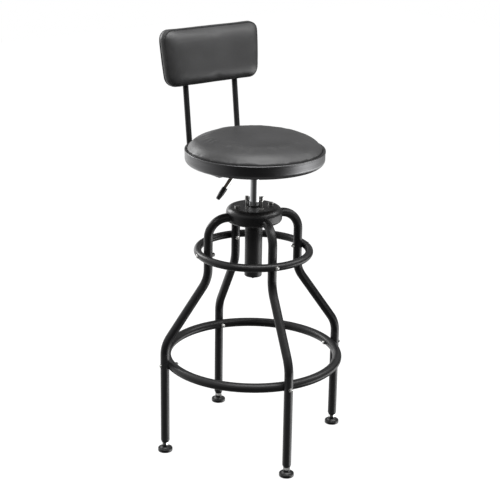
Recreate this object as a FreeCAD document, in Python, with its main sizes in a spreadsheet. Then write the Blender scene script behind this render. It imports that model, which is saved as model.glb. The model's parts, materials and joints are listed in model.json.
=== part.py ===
import FreeCAD, Part
import math
import os
import Sketcher

Vector = FreeCAD.Vector
doc = FreeCAD.newDocument("MachinistStool")

# Driving sizes in millimetres
SIZES = {
    # seat: steel band, board and cushion
    "seat_radius": 185.3,
    "band_height": 37.0,
    "band_sheet": 1.5,
    "band_corner": 14.0,
    "bead_height": 5.0,
    "bead_step": 0.8,
    "lip_width": 6.0,
    "flange_width": 35.3,
    "board_thickness": 12.0,
    "board_edge_gap": 3.0,
    "cushion_crown": 35.0,
    "cushion_side_width": 4.8,
    "cushion_side_height": 11.7,
    "cushion_side_rounding": 20.0,
    "cushion_shoulder_width": 19.0,
    "cushion_shoulder_height": 23.9,
    "cushion_shoulder_rounding": 40.0,
    "cushion_bevel_width": 51.0,
    "cushion_rounding": 90.0,
    "cushion_edge_inset": 6.3,
    # gas lift: what slides and turns in the column
    "lift_radius": 14.0,
    "lift_wall": 2.0,
    "lift_set_height": 69.0,
    "lift_length": 228.5,
    "taper_length": 22.0,
    "taper_reduction": 0.6,
    "gland_length": 15.0,
    "valve_block_floor": 2.2,
    "valve_pin_radius": 3.0,
    "valve_pin_rise": 5.2,
    "valve_pin_length": 33.0,
    "valve_travel": 3.0,
    "rod_radius": 4.0,
    "rod_spigot_radius": 3.4,
    "rod_spigot_length": 6.0,
    "rod_below_column": 8.0,
    "piston_length": 10.0,
    "lift_up_travel": 55.0,
    "clip_radius": 7.5,
    "clip_thickness": 1.5,
    "washer_radius": 14.0,
    "washer_thickness": 2.0,
    "bump_radius": 13.0,
    "bump_height": 10.0,
    "bearing_outer_radius": 15.0,
    "bearing_height": 6.0,
    # column and hub
    "column_radius": 23.5,
    "column_wall": 2.0,
    "column_drop": 140.0,
    "column_floor": 4.0,
    "hub_top": 673.0,
    "hub_radius": 75.0,
    "hub_rim": 38.0,
    "hub_rounding": 17.0,
    "hub_cap": 14.0,
    "bush_neck_wall": 2.0,
    "hub_corner": 10.0,
    "hub_foot_radius": 27.0,
    "hub_depth": 55.0,
    "bush_length": 77.0,
    "seal_height": 3.0,
    "seal_inset": 0.8,
    "neck_bolt_outset": 4.0,
    "neck_bolt_radius": 3.0,
    "neck_bolt_stand": 17.0,
    "neck_bolt_head_radius": 5.6,
    "neck_bolt_head_height": 9.0,
    "neck_bolt_depth": 11.0,
    "hub_bolt_circle": 48.0,
    "hub_bolt_radius": 4.0,
    "hub_bolt_head_across": 13.0,
    "hub_bolt_head_height": 5.0,
    "hub_bolt_length": 36.0,
    # legs: bent tubes, each in a plane through the stool's axis
    "leg_radius": 11.9,
    "leg_wall": 1.6,
    "leg_inner_end": 29.0,
    "leg_drop": 25.0,
    "leg_neck": 3.5,
    "leg_lower_reach": 251.8,
    "leg_knee_height": 483.0,
    "leg_ankle_height": 309.0,
    "leg_shoulder_bend": 51.0,
    "leg_knee_bend": 82.0,
    # rings
    "upper_ring_outset": 20.3,
    "upper_ring_height": 549.3,
    "upper_ring_tube": 10.4,
    "lower_ring_inset": 17.8,
    "lower_ring_height": 250.6,
    "lower_ring_tube": 12.4,
    "ring_wall": 1.8,
    "ring_bolt_radius": 3.0,
    "ring_bolt_head_radius": 5.5,
    "ring_bolt_head_height": 3.4,
    "ring_nut_across": 10.0,
    "ring_nut_height": 5.0,
    "ring_nut_dome": 2.5,
    # levelling feet
    "pad_radius": 19.8,
    "pad_height": 9.0,
    "pad_rounding": 2.0,
    "pad_boss_radius": 9.3,
    "pad_boss_height": 19.0,
    "stem_radius": 5.0,
    "stem_above_insert": 12.0,
    "stem_bottom": 4.0,
    "lock_nut_across": 17.0,
    "lock_nut_height": 6.7,
    "insert_above_nut": 0.3,
    "insert_collar": 6.0,
    "insert_low_radius": 9.4,
    "insert_length": 30.0,
    # seat mechanism
    "plate_above_lift": 11.0,
    "plate_half_width": 48.0,
    "plate_half_length": 85.0,
    "plate_thickness": 3.0,
    "plate_screw_from_side": 12.0,
    "plate_screw_from_end": 13.0,
    "plate_screw_radius": 2.5,
    "plate_screw_head_radius": 5.5,
    "plate_screw_head_height": 3.0,
    "plate_screw_length": 12.5,
    "socket_radius": 22.0,
    "socket_skirt": 2.0,
    "socket_slot_width": 15.0,
    "slot_above_lift": 0.6,
    "ear_clearance": 3.0,
    "eye_below_plate": 1.1,
    "lever_radius": 6.0,
    "lever_level_run": 22.5,
    "lever_bend": 18.0,
    "lever_slope_run": 66.2,
    "lever_slope_drop": 70.9,
    "lever_eye_radius": 6.4,
    "lever_eye_width": 14.0,
    "lever_tongue_width": 9.0,
    "lever_tongue_thickness": 3.6,
    "lever_tongue_reach": 4.0,
    "lever_pin_radius": 2.5,
    "ear_thickness": 3.0,
    "ear_half_length": 9.0,
    "web_below_eye": 0.7,
    "bracket_web": 2.4,
    "pin_head_radius": 4.0,
    "pin_head_height": 1.6,
    "grip_length": 36.0,
    "grip_radius": 7.4,
    "grip_tip_radius": 5.2,
    "grip_cover": 17.5,
    # backrest and its two posts
    "back_width": 310.0,
    "back_height": 152.0,
    "back_flare": 5.0,
    "back_thickness": 48.0,
    "back_corner": 28.0,
    "back_draw": 6.0,
    "back_crown_step": 26.0,
    "back_behind_seat": 6.2,
    "back_above_band": 221.4,
    "back_board_width": 262.0,
    "back_board_height": 112.0,
    "back_board_thickness": 10.0,
    "back_board_front": 4.6,
    "back_board_corner": 14.0,
    "post_radius": 7.6,
    "post_spacing": 164.0,
    "post_behind": 13.6,
    "post_below_board": 11.0,
    "post_front_end": 6.0,
    "post_bend": 30.0,
    "post_round_end": 24.0,
    "post_tab_width": 18.0,
    "post_tab_thickness": 4.6,
    "post_tab_rise": 44.0,
    "tab_screw_spacing": 54.0,
    "tab_screw_centre": 8.0,
    "tab_screw_radius": 2.2,
    "tab_screw_head_radius": 4.6,
    "tab_screw_head_height": 2.6,
    "tab_screw_length": 12.0,
    "clamp_half_width": 30.0,
    "clamp_length": 40.0,
    "clamp_front": 12.0,
    "clamp_below_post": 18.5,
    "clamp_screw_out": 17.0,
    "clamp_screw_radius": 3.0,
    "clamp_screw_head_radius": 5.5,
    "clamp_screw_head_height": 3.5,
    "clamp_screw_into_board": 9.0,
    # fits
    "running_gap": 0.05,
    "seat_gap": 0.05,
    "soft_gap": 0.3,
    "bolt_gap": 0.15,
}
# Driving angles in degrees
ANGLES = {"seat_turn": 16.4, "back_lean": 6.6, "neck_bolt_turn": 61.0}
LEG_COUNT = 4
LEG_STEP = 90

sheet = doc.addObject("Spreadsheet::Sheet", "Sizes")
for row, (alias, amount) in enumerate({**SIZES, **ANGLES}.items(), start=1):
    sheet.set("A%d" % row, alias)
    sheet.set("B%d" % row, str(amount))
    sheet.setAlias("B%d" % row, alias)
doc.recompute()


class Size:
    """A length or an angle that keeps both its formula over the sheet and its value."""

    def __init__(self, formula, value):
        self.formula = formula
        self.value = value

    def __add__(self, other):
        other = as_size(other)
        return Size("(%s + %s)" % (self.formula, other.formula), self.value + other.value)

    def __radd__(self, other):
        return as_size(other) + self

    def __sub__(self, other):
        other = as_size(other)
        return Size("(%s - %s)" % (self.formula, other.formula), self.value - other.value)

    def __rsub__(self, other):
        return as_size(other) - self

    def __mul__(self, other):
        other = as_size(other)
        return Size("(%s * %s)" % (self.formula, other.formula), self.value * other.value)

    def __rmul__(self, other):
        return as_size(other) * self

    def __truediv__(self, other):
        other = as_size(other)
        return Size("(%s / %s)" % (self.formula, other.formula), self.value / other.value)

    def __neg__(self):
        return Size("(0 - %s)" % self.formula, -self.value)


def as_size(number):
    if isinstance(number, Size):
        return number
    return Size(repr(float(number)), float(number))


def size(alias):
    return Size("Sizes.%s" % alias, SIZES[alias])


def angle(alias):
    return Size("Sizes.%s" % alias, ANGLES[alias])


def sine(turn):
    return Size("sin(%s)" % turn.formula, math.sin(math.radians(turn.value)))


def cosine(turn):
    return Size("cos(%s)" % turn.formula, math.cos(math.radians(turn.value)))


def tangent(turn):
    return Size("tan(%s)" % turn.formula, math.tan(math.radians(turn.value)))


def arc_tangent(ratio):
    return Size("(atan(%s) / 1 deg)" % ratio.formula, math.degrees(math.atan(ratio.value)))


def root(amount):
    return Size("sqrt(%s)" % amount.formula, math.sqrt(amount.value))


def larger(one, other):
    one, other = as_size(one), as_size(other)
    return Size("max(%s; %s)" % (one.formula, other.formula), max(one.value, other.value))


def bind(item, name, amount):
    item.setExpression(name, as_size(amount).formula)


# Bodies, sketches and features

pieces = []


def new_body(name):
    body = doc.addObject("PartDesign::Body", name)
    body.Label = name
    return body


def keep(piece):
    pieces.append(piece)
    return piece


def origin_item(body, role):
    for item in body.Origin.OriginFeatures:
        if item.Role == role:
            return item
    raise ValueError("no origin item named " + role)


def new_sketch(body, name, role, offset=None, shift_x=None, shift_y=None):
    """A sketch on an origin plane, moved along the plane's normal or within the plane."""
    sketch = body.newObject("Sketcher::SketchObject", name)
    sketch.AttachmentSupport = [(origin_item(body, role), "")]
    sketch.MapMode = "FlatFace"
    for part, amount in (("x", shift_x), ("y", shift_y), ("z", offset)):
        if amount is not None:
            bind(sketch, "AttachmentOffset.Base." + part, amount)
    return sketch


def pin_coordinate(sketch, geometry, end, kind, amount):
    """Fix one coordinate of a point: on the axis where it is nothing, else at a bound distance."""
    if not isinstance(amount, Size) and amount == 0:
        axis = -2 if kind == "DistanceX" else -1
        sketch.addConstraint(Sketcher.Constraint("PointOnObject", geometry, end, axis))
        return
    amount = as_size(amount)
    index = sketch.addConstraint(Sketcher.Constraint(kind, -1, 1, geometry, end, amount.value))
    bind(sketch, "Constraints[%d]" % index, amount)


def pin_point(sketch, geometry, end, corner):
    pin_coordinate(sketch, geometry, end, "DistanceX", corner[0])
    pin_coordinate(sketch, geometry, end, "DistanceY", corner[1])


def draw(sketch, corners, closed=True):
    """Straight lines between corners (x, y) or (x, y, radius), rounded by tangent arcs."""
    count = len(corners)
    spots = [Vector(as_size(c[0]).value, as_size(c[1]).value, 0) for c in corners]
    arrive, leave, arcs = list(spots), list(spots), {}
    for i, corner in enumerate(corners):
        if len(corner) < 3:
            continue
        radius = as_size(corner[2]).value
        before = (spots[i] - spots[i - 1]).normalize()
        after = (spots[(i + 1) % count] - spots[i]).normalize()
        turn = before.getAngle(after)
        reach = radius * math.tan(turn / 2)
        arrive[i] = spots[i] - before * reach
        leave[i] = spots[i] + after * reach
        centre = spots[i] + (after - before).normalize() * (radius / math.cos(turn / 2))
        left = before.x * after.y - before.y * after.x > 0
        first, last = (arrive[i], leave[i]) if left else (leave[i], arrive[i])
        angles = [math.atan2(p.y - centre.y, p.x - centre.x) for p in (first, last)]
        circle = Part.Circle(centre, Vector(0, 0, 1), radius)
        arcs[i] = (sketch.addGeometry(Part.ArcOfCircle(circle, *angles)), left)
    lines = {}
    for i in range(count if closed else count - 1):
        follow = (i + 1) % count
        lines[i] = sketch.addGeometry(Part.LineSegment(leave[i], arrive[follow]))
    for i, corner in enumerate(corners):
        into, out = lines.get((i - 1) % count), lines.get(i)
        if i in arcs:
            arc, left = arcs[i]
            start, end = (1, 2) if left else (2, 1)
            sketch.addConstraint(Sketcher.Constraint("Tangent", into, 2, arc, start))
            sketch.addConstraint(Sketcher.Constraint("Tangent", arc, end, out, 1))
            index = sketch.addConstraint(
                Sketcher.Constraint("Radius", arc, as_size(corner[2]).value))
            bind(sketch, "Constraints[%d]" % index, corner[2])
            mark = sketch.addGeometry(Part.Point(spots[i]), True)
            sketch.addConstraint(Sketcher.Constraint("PointOnObject", mark, 1, into))
            sketch.addConstraint(Sketcher.Constraint("PointOnObject", mark, 1, out))
            pin_point(sketch, mark, 1, corner)
        elif into is None or (i == 0 and not closed):
            pin_point(sketch, out, 1, corner)
        elif out is None:
            pin_point(sketch, into, 2, corner)
        else:
            sketch.addConstraint(Sketcher.Constraint("Coincident", into, 2, out, 1))
            pin_point(sketch, out, 1, corner)
    return sketch


def draw_circle(sketch, x, y, radius):
    centre = Vector(as_size(x).value, as_size(y).value, 0)
    circle = Part.Circle(centre, Vector(0, 0, 1), as_size(radius).value)
    shape = sketch.addGeometry(circle)
    pin_point(sketch, shape, 3, (x, y))
    index = sketch.addConstraint(Sketcher.Constraint("Radius", shape, as_size(radius).value))
    bind(sketch, "Constraints[%d]" % index, radius)
    return sketch


def draw_box(sketch, low_x, high_x, low_y, high_y, rounding=None):
    extra = () if rounding is None else (rounding,)
    return draw(sketch, [(low_x, low_y) + extra, (high_x, low_y) + extra,
                         (high_x, high_y) + extra, (low_x, high_y) + extra])


def draw_hexagon(sketch, x, y, across):
    """A hexagon with two flats square to the sketch's x."""
    flat = across / 2
    side = across / root(as_size(3))
    return draw(sketch, [(x + flat, y - side / 2), (x + flat, y + side / 2), (x, y + side),
                         (x - flat, y + side / 2), (x - flat, y - side / 2), (x, y - side)])


def feature(body, kind, name, sketch, **settings):
    item = body.newObject("PartDesign::" + kind, name)
    item.Profile = sketch
    for key, amount in settings.items():
        if isinstance(amount, Size):
            bind(item, key, amount)
        else:
            setattr(item, key, amount)
    sketch.Visibility = False
    return item


def turned(body, name, sketch, axis="V_Axis", cut=False):
    kind = "Groove" if cut else "Revolution"
    return feature(body, kind, name, sketch, ReferenceAxis=(sketch, [axis]), Angle=360)


def around(body, name, items):
    """The same features again round the stool's axis, once for each leg."""
    pattern = body.newObject("PartDesign::PolarPattern", name)
    pattern.Originals = items
    pattern.Axis = (origin_item(body, "Z_Axis"), [""])
    pattern.Angle = 360
    pattern.Occurrences = LEG_COUNT
    body.Tip = pattern
    return pattern


def lathe(name, corners):
    """A round piece about the stool's axis, from the outline of its half section."""
    body = new_body(name)
    turned(body, name + "_turn", draw(new_sketch(body, name + "_section", "XZ_Plane"), corners))
    return body


def through(body, name, sketch):
    """A hole right through the body, both ways from the sketch."""
    return feature(body, "Pocket", name, sketch, Type=1, Midplane=True)


def turn_to_legs(piece, step=0):
    """Turn a piece drawn along +X to stand on leg number step."""
    piece.Placement = FreeCAD.Placement(Vector(), FreeCAD.Rotation(Vector(0, 0, 1), 1))
    bind(piece, "Placement.Rotation.Angle", LEG_STEP * (step - 1) - angle("seat_turn"))


# Derived places, shared by the pieces that meet there

axis_gap = size("running_gap")
fit = size("seat_gap")
soft = size("soft_gap")
# hub, legs and column
hub_underside = size("hub_top") - size("hub_depth")
hub_cap_bore = size("lift_radius") + size("bush_neck_wall")
neck_bolt_circle = hub_cap_bore + size("neck_bolt_outset")
column_low_end = hub_underside - size("column_drop")
column_inside = size("column_radius") - size("column_wall")
column_floor_top = column_low_end + size("column_floor")
column_top = size("hub_top") - size("hub_cap")
leg_top = size("hub_top") - size("leg_drop")
leg_upper_reach = size("hub_radius") + size("leg_neck") + size("leg_shoulder_bend")
leg_bore = size("leg_radius") + fit
# feet, from the pads up
nut_top = size("pad_boss_height") + size("lock_nut_height")
insert_low_end = nut_top + size("insert_above_nut")
leg_low_end = insert_low_end + size("insert_collar")
insert_top_end = leg_low_end + size("insert_length")
stem_top = insert_top_end + size("stem_above_insert")
# gas lift
lift_low_end = column_floor_top + size("lift_set_height")
lift_top_end = lift_low_end + size("lift_length")
lift_bore = size("lift_radius") - size("lift_wall")
bush_bore = size("lift_radius") + axis_gap
washer_low = column_floor_top + size("bearing_height")
washer_top = washer_low + size("washer_thickness")
gland_top = lift_low_end + size("gland_length")
piston_low = gland_top + size("lift_up_travel") + 0.5
rod_top = piston_low + size("rod_spigot_length")
floor_hole = size("rod_spigot_radius") + axis_gap
# seat
plate_low = lift_top_end + size("plate_above_lift")
board_low = plate_low + size("plate_thickness")
board_top = board_low + size("board_thickness")
band_underside = board_low - size("band_sheet")
band_top = band_underside + size("band_height")
wall_radius = size("seat_radius") - size("bead_step")
wall_inside = wall_radius - size("band_sheet")
lip_edge = wall_radius - size("lip_width")
flange_inner_radius = size("seat_radius") - size("flange_width")
plate_screw_x = size("plate_half_width") - size("plate_screw_from_side")
plate_screw_y = size("plate_half_length") - size("plate_screw_from_end")
# lever
lever_height = plate_low - size("eye_below_plate") - size("lever_eye_radius")
lever_pivot_out = size("socket_radius") + size("ear_clearance") + size("ear_half_length")
lever_bend_out = lever_pivot_out + size("lever_level_run")
lever_tip_out = lever_bend_out + size("lever_slope_run")
lever_tip_height = lever_height - size("lever_slope_drop")
ear_low = lever_height - size("lever_eye_radius") - size("web_below_eye") - size("bracket_web")
# backrest
back_distance = size("seat_radius") + size("back_behind_seat")
back_centre_height = band_top + size("back_above_band")
post_run_height = board_low - size("post_below_board")
clamp_underside = post_run_height - size("clamp_below_post")


# Seat: band, board and cushion

def seat_band():
    low, sheet_gauge, corner = band_underside, size("band_sheet"), size("band_corner")
    bead_low = band_top - size("bead_height")
    step, out = size("bead_step"), size("seat_radius")
    return lathe("seat_band", [
        (flange_inner_radius, low),
        (wall_radius, low, corner),
        (wall_radius, bead_low - step),
        (out, bead_low),
        (out, band_top, 1.4),
        (lip_edge, band_top),
        (lip_edge, band_top - sheet_gauge),
        (wall_inside, band_top - sheet_gauge),
        (wall_inside, board_low, corner - sheet_gauge),
        (flange_inner_radius, board_low)])


def seat_board():
    """The board rests on the band's flange, inside its rounded corner."""
    edge = wall_inside - size("band_corner")
    body = lathe("seat_board", [
        (0, board_low), (edge, board_low),
        (edge + size("board_edge_gap"), board_low + size("board_edge_gap")),
        (edge + size("board_edge_gap"), board_top), (0, board_top)])
    pilot = new_sketch(body, "plate_screw_pilots", "XY_Plane", offset=board_low)
    for side in (-1, 1):
        for end in (-1, 1):
            draw_circle(pilot, side * plate_screw_x, end * plate_screw_y,
                        size("plate_screw_radius") + fit)
    feature(body, "Pocket", "plate_screw_holes", pilot, Reversed=True,
            Length=size("plate_screw_length") - size("plate_thickness") + 1)
    pilot = new_sketch(body, "clamp_screw_pilots", "XY_Plane", offset=board_low)
    for side in (-1, 1):
        for way in (-1, 1):
            draw_circle(pilot, side * size("post_spacing") / 2 + way * size("clamp_screw_out"),
                        size("clamp_front") + size("clamp_length") / 2,
                        size("clamp_screw_radius") + fit)
    feature(body, "Pocket", "clamp_screw_holes", pilot, Reversed=True,
            Length=size("clamp_screw_into_board") + 1)
    return body


def seat_cushion():
    top = band_top + size("cushion_crown")
    inside = lip_edge - soft
    edge = size("seat_radius") - size("cushion_edge_inset")
    base = band_top + soft
    return lathe("seat_cushion", [
        (0, board_top + soft), (inside, board_top + soft), (inside, base), (edge, base),
        (edge - size("cushion_side_width"), base + size("cushion_side_height"),
         size("cushion_side_rounding")),
        (edge - size("cushion_shoulder_width"), base + size("cushion_shoulder_height"),
         size("cushion_shoulder_rounding")),
        (edge - size("cushion_bevel_width"), top, size("cushion_rounding")),
        (0, top)])


# Gas lift

def pressure_cylinder():
    radius, low, top = size("lift_radius"), lift_low_end, lift_top_end
    return lathe("pressure_cylinder", [
        (lift_bore, low), (radius, low), (radius, top - size("taper_length")),
        (radius - size("taper_reduction"), top), (lift_bore, top)])


def cylinder_gland():
    low = lift_low_end
    return lathe("cylinder_gland", [
        (size("rod_radius") + axis_gap, low), (lift_bore - fit, low),
        (lift_bore - fit, low + size("gland_length")),
        (size("rod_radius") + axis_gap, low + size("gland_length"))])


def valve_block():
    top = lift_top_end
    bore, edge = size("valve_pin_radius") + axis_gap, lift_bore - fit
    well = pin_low() - size("valve_travel") - 1
    low = well - size("valve_block_floor")
    return lathe("valve_block", [
        (0, low), (edge, low), (edge, top), (bore, top), (bore, well), (0, well)])


def pin_low():
    return lift_top_end + size("valve_pin_rise") - size("valve_pin_length")


def valve_pin():
    top, radius = lift_top_end + size("valve_pin_rise"), size("valve_pin_radius")
    return lathe("valve_pin", [
        (0, pin_low()), (radius, pin_low()), (radius, top - radius / 3),
        (radius / 2, top), (0, top)])


def piston_rod():
    low = column_low_end - size("rod_below_column")
    spigot, radius = size("rod_spigot_radius"), size("rod_radius")
    return lathe("piston_rod", [
        (0, low), (spigot, low), (spigot, washer_top), (radius, washer_top),
        (radius, piston_low), (spigot, piston_low), (spigot, rod_top), (0, rod_top)])


def piston():
    low, edge = piston_low, lift_bore - axis_gap
    top = low + size("piston_length")
    shaft = size("rod_spigot_radius") + fit
    cap = rod_top + 0.2
    return lathe("piston", [
        (shaft, low), (edge, low), (edge, top), (0, top), (0, cap), (shaft, cap)])


def ring_piece(name, inner, outer, low, top):
    return lathe(name, [(inner, low), (outer, low), (outer, top), (inner, top)])


def lift_rings():
    shaft = size("rod_spigot_radius") + fit
    clip_top = column_low_end - 0.3
    return [
        ring_piece("rod_clip", shaft, size("clip_radius"),
                   clip_top - size("clip_thickness"), clip_top),
        ring_piece("rod_washer", shaft, size("washer_radius"), washer_low + 0.05, washer_top),
        ring_piece("bump_stop", size("rod_radius") + soft, size("bump_radius"),
                   washer_top, washer_top + size("bump_height"))]


def thrust_bearing():
    """Two races with a grooved track between them, sitting on the column's floor."""
    inner, outer = floor_hole + 0.3, size("bearing_outer_radius")
    low, tall = column_floor_top, size("bearing_height")
    notch = 1.2
    return lathe("thrust_bearing", [
        (inner, low), (outer, low), (outer, low + tall / 3), (outer - notch, low + tall / 2),
        (outer, low + 2 * tall / 3), (outer, low + tall), (inner, low + tall)])


# Column and hub

def column():
    low, radius = column_low_end, size("column_radius")
    return lathe("column", [
        (floor_hole, low), (radius, low, 3), (radius, column_top),
        (column_inside, column_top), (column_inside, column_floor_top),
        (floor_hole, column_floor_top)])


def guide_bush():
    edge, neck = column_inside - fit, hub_cap_bore - fit
    bush_low = size("hub_top") - size("bush_length")
    return lathe("guide_bush", [
        (bush_bore, bush_low), (edge, bush_low),
        (edge, column_top - fit), (neck, column_top - fit), (neck, size("hub_top")),
        (bush_bore, size("hub_top"))])


def neck_seal():
    edge, low = hub_cap_bore - size("seal_inset"), size("hub_top")
    top = low + size("seal_height")
    return lathe("neck_seal", [
        (bush_bore, low), (edge, low), (edge, top - 1.2), (bush_bore + 1, top),
        (bush_bore, top)])


def hub():
    """A bowl-shaped casting with a socket for each leg and the column up its middle."""
    top, radius = size("hub_top"), size("hub_radius")
    body = new_body("hub")
    core = draw(new_sketch(body, "hub_section", "XZ_Plane"), [
        (0, hub_underside), (size("hub_foot_radius"), hub_underside, 2),
        (radius, top - size("hub_rim"), size("hub_corner")),
        (radius, top, size("hub_rounding")), (0, top)])
    turned(body, "hub_core", core)
    bore = draw(new_sketch(body, "bore_section", "XZ_Plane"), [
        (0, hub_underside - 1), (size("column_radius") + fit, hub_underside - 1),
        (size("column_radius") + fit, column_top), (hub_cap_bore, column_top),
        (hub_cap_bore, top + 1), (0, top + 1)])
    turned(body, "bore", bore, cut=True)
    mouth = new_sketch(body, "socket_mouth", "YZ_Plane", offset=size("leg_inner_end") - fit)
    draw_circle(mouth, 0, leg_top, leg_bore)
    socket = feature(body, "Pocket", "socket", mouth, Length=radius, Reversed=True)
    around(body, "sockets", [socket])
    spot = new_sketch(body, "hub_bolt_spot", "XY_Plane", offset=top)
    draw_circle(spot, size("hub_bolt_circle"), 0, size("hub_bolt_radius") + size("bolt_gap"))
    hole = feature(body, "Pocket", "hub_bolt_hole", spot, Length=size("hub_bolt_length") + 2)
    around(body, "hub_bolt_holes", [hole])
    spots = new_sketch(body, "neck_bolt_spots", "XY_Plane", offset=top)
    for x, y in neck_bolt_places():
        draw_circle(spots, x, y, size("neck_bolt_radius") + fit)
    feature(body, "Pocket", "neck_bolt_holes", spots, Length=size("neck_bolt_depth") + 1)
    turn_to_legs(body)
    return body


def neck_bolt_places():
    """Opposite each other round the neck, between two legs."""
    turn = angle("neck_bolt_turn")
    out, aside = neck_bolt_circle * cosine(turn), neck_bolt_circle * sine(turn)
    return [(out, aside), (-out, -aside)]


def neck_bolts():
    body = new_body("neck_bolts")
    low = size("hub_top") - size("neck_bolt_depth")
    seat = size("hub_top") + size("neck_bolt_stand")
    top = seat + size("neck_bolt_head_height")
    head, shank = size("neck_bolt_head_radius"), size("neck_bolt_radius")
    for number, (x, y) in enumerate(neck_bolt_places()):
        section = new_sketch(body, "neck_bolt_section_%d" % number, "XZ_Plane",
                             offset=-y, shift_x=x)
        draw(section, [(0, low), (shank, low), (shank, seat), (head, seat),
                       (head, top, 1), (head / 2, top), (head / 2, top - 4), (0, top - 4)])
        turned(body, "neck_bolt_%d" % number, section)
    turn_to_legs(body)
    return body


def hub_bolts():
    body = new_body("hub_bolts")
    top = size("hub_top")
    low = top - size("hub_bolt_length")
    section = new_sketch(body, "shank_section", "XY_Plane", offset=low)
    draw_circle(section, size("hub_bolt_circle"), 0, size("hub_bolt_radius"))
    shank = feature(body, "Pad", "shank", section, Length=size("hub_bolt_length"))
    plan = new_sketch(body, "head_plan", "XY_Plane", offset=top)
    draw_hexagon(plan, size("hub_bolt_circle"), 0, size("hub_bolt_head_across"))
    head = feature(body, "Pad", "head", plan, Length=size("hub_bolt_head_height"))
    around(body, "bolts", [shank, head])
    turn_to_legs(body)
    return body


# Legs and their end inserts

def leg_line(body, name):
    """A leg's centre line: level out of the hub, down, out to the foot circle and down."""
    return draw(new_sketch(body, name, "XZ_Plane"), [
        (size("leg_inner_end"), leg_top),
        (leg_upper_reach, leg_top, size("leg_shoulder_bend")),
        (leg_upper_reach, size("leg_knee_height"), size("leg_knee_bend")),
        (size("leg_lower_reach"), size("leg_ankle_height"), size("leg_knee_bend")),
        (size("leg_lower_reach"), leg_low_end)], closed=False)


def leg_reach(height, offset=0):
    """How far out a leg's upper run passes at a height, or a face offset from its line."""
    bend = size("leg_shoulder_bend")
    into_bend = larger(0, height - (leg_top - bend))
    arc = bend + offset
    return leg_upper_reach - bend + root(arc * arc - into_bend * into_bend)


def leg(number):
    """A bent tube with holes for the bolts of the hub and the rings."""
    body = new_body("leg_%d" % number)
    path = leg_line(body, "path_%d" % number)
    section = new_sketch(body, "tube_%d" % number, "YZ_Plane", offset=size("leg_inner_end"))
    draw_circle(section, 0, leg_top, size("leg_radius"))
    draw_circle(section, 0, leg_top, size("leg_radius") - size("leg_wall"))
    feature(body, "AdditivePipe", "bent_tube_%d" % number, section, Spine=path)
    holes = new_sketch(body, "ring_bolt_spots_%d" % number, "YZ_Plane")
    for height in (size("upper_ring_height"), size("lower_ring_height")):
        draw_circle(holes, 0, height, size("ring_bolt_radius") + size("bolt_gap"))
    through(body, "ring_bolt_holes_%d" % number, holes)
    hole = new_sketch(body, "hub_bolt_spot_%d" % number, "XY_Plane", offset=leg_top)
    draw_circle(hole, size("hub_bolt_circle"), 0, size("hub_bolt_radius") + size("bolt_gap"))
    through(body, "hub_bolt_hole_%d" % number, hole)
    turn_to_legs(body, number - 1)
    return body


def leg_insert(number):
    """A threaded plug in the lower end of a leg, with a tapered collar below."""
    body = new_body("leg_insert_%d" % number)
    section = new_sketch(body, "insert_section_%d" % number, "XZ_Plane",
                         shift_x=size("leg_lower_reach"))
    bore, plug = size("stem_radius") + axis_gap, size("leg_radius") - size("leg_wall") - fit
    low, top = insert_low_end, insert_top_end
    draw(section, [
        (bore, low), (size("insert_low_radius"), low), (size("leg_radius"), leg_low_end),
        (plug, leg_low_end), (plug, top), (bore, top)])
    turned(body, "insert_%d" % number, section)
    turn_to_legs(body, number - 1)
    return body


# Rings: bent tubes with a dimple pressed in where each leg crosses

def ring(name, reach, height, tube):
    shapes = []
    for part, radius, saddle in (("skin", tube, leg_bore),
                                 ("hollow", tube - size("ring_wall"),
                                  leg_bore + size("ring_wall"))):
        body = new_body("%s_%s" % (name, part))
        section = new_sketch(body, "%s_%s_section" % (name, part), "XZ_Plane")
        draw_circle(section, reach, height, radius)
        turned(body, "%s_%s_turn" % (name, part), section)
        path = leg_line(body, "%s_%s_leg_line" % (name, part))
        spot = new_sketch(body, "%s_%s_saddle" % (name, part), "YZ_Plane",
                          offset=size("leg_inner_end"))
        draw_circle(spot, 0, leg_top, saddle)
        dimple = feature(body, "SubtractivePipe", "%s_%s_dimple" % (name, part), spot, Spine=path)
        around(body, "%s_%s_saddles" % (name, part), [dimple])
        shapes.append(body)
    skin = shapes[0]
    spot = new_sketch(skin, name + "_bolt_spot", "YZ_Plane", offset=0)
    draw_circle(spot, 0, height, size("ring_bolt_radius") + size("bolt_gap"))
    hole = feature(skin, "Pocket", name + "_bolt_hole", spot, Reversed=True,
                   Length=reach + 2 * tube)
    around(skin, name + "_bolt_holes", [hole])
    cut = doc.addObject("Part::Cut", name)
    cut.Label = name
    cut.Base, cut.Tool = shapes
    turn_to_legs(cut)
    return cut


def ring_bolts(name, height, head_at, tip_at):
    """Domed bolts on lines out from the axis; the head is at head_at, the tip at tip_at."""
    body = new_body(name)
    section = new_sketch(body, name + "_section", "XZ_Plane", shift_y=height)
    shank, head = size("ring_bolt_radius"), size("ring_bolt_head_radius")
    tall = size("ring_bolt_head_height")
    draw(section, [
        (tip_at, 0), (tip_at, shank), (head_at, shank), (head_at, head),
        (head_at + tall / 2, head), (head_at + tall, head / 2), (head_at + tall, 0)])
    around(body, name + "_pattern", [turned(body, name + "_bolt", section, axis="H_Axis")])
    turn_to_legs(body)
    return body


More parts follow.
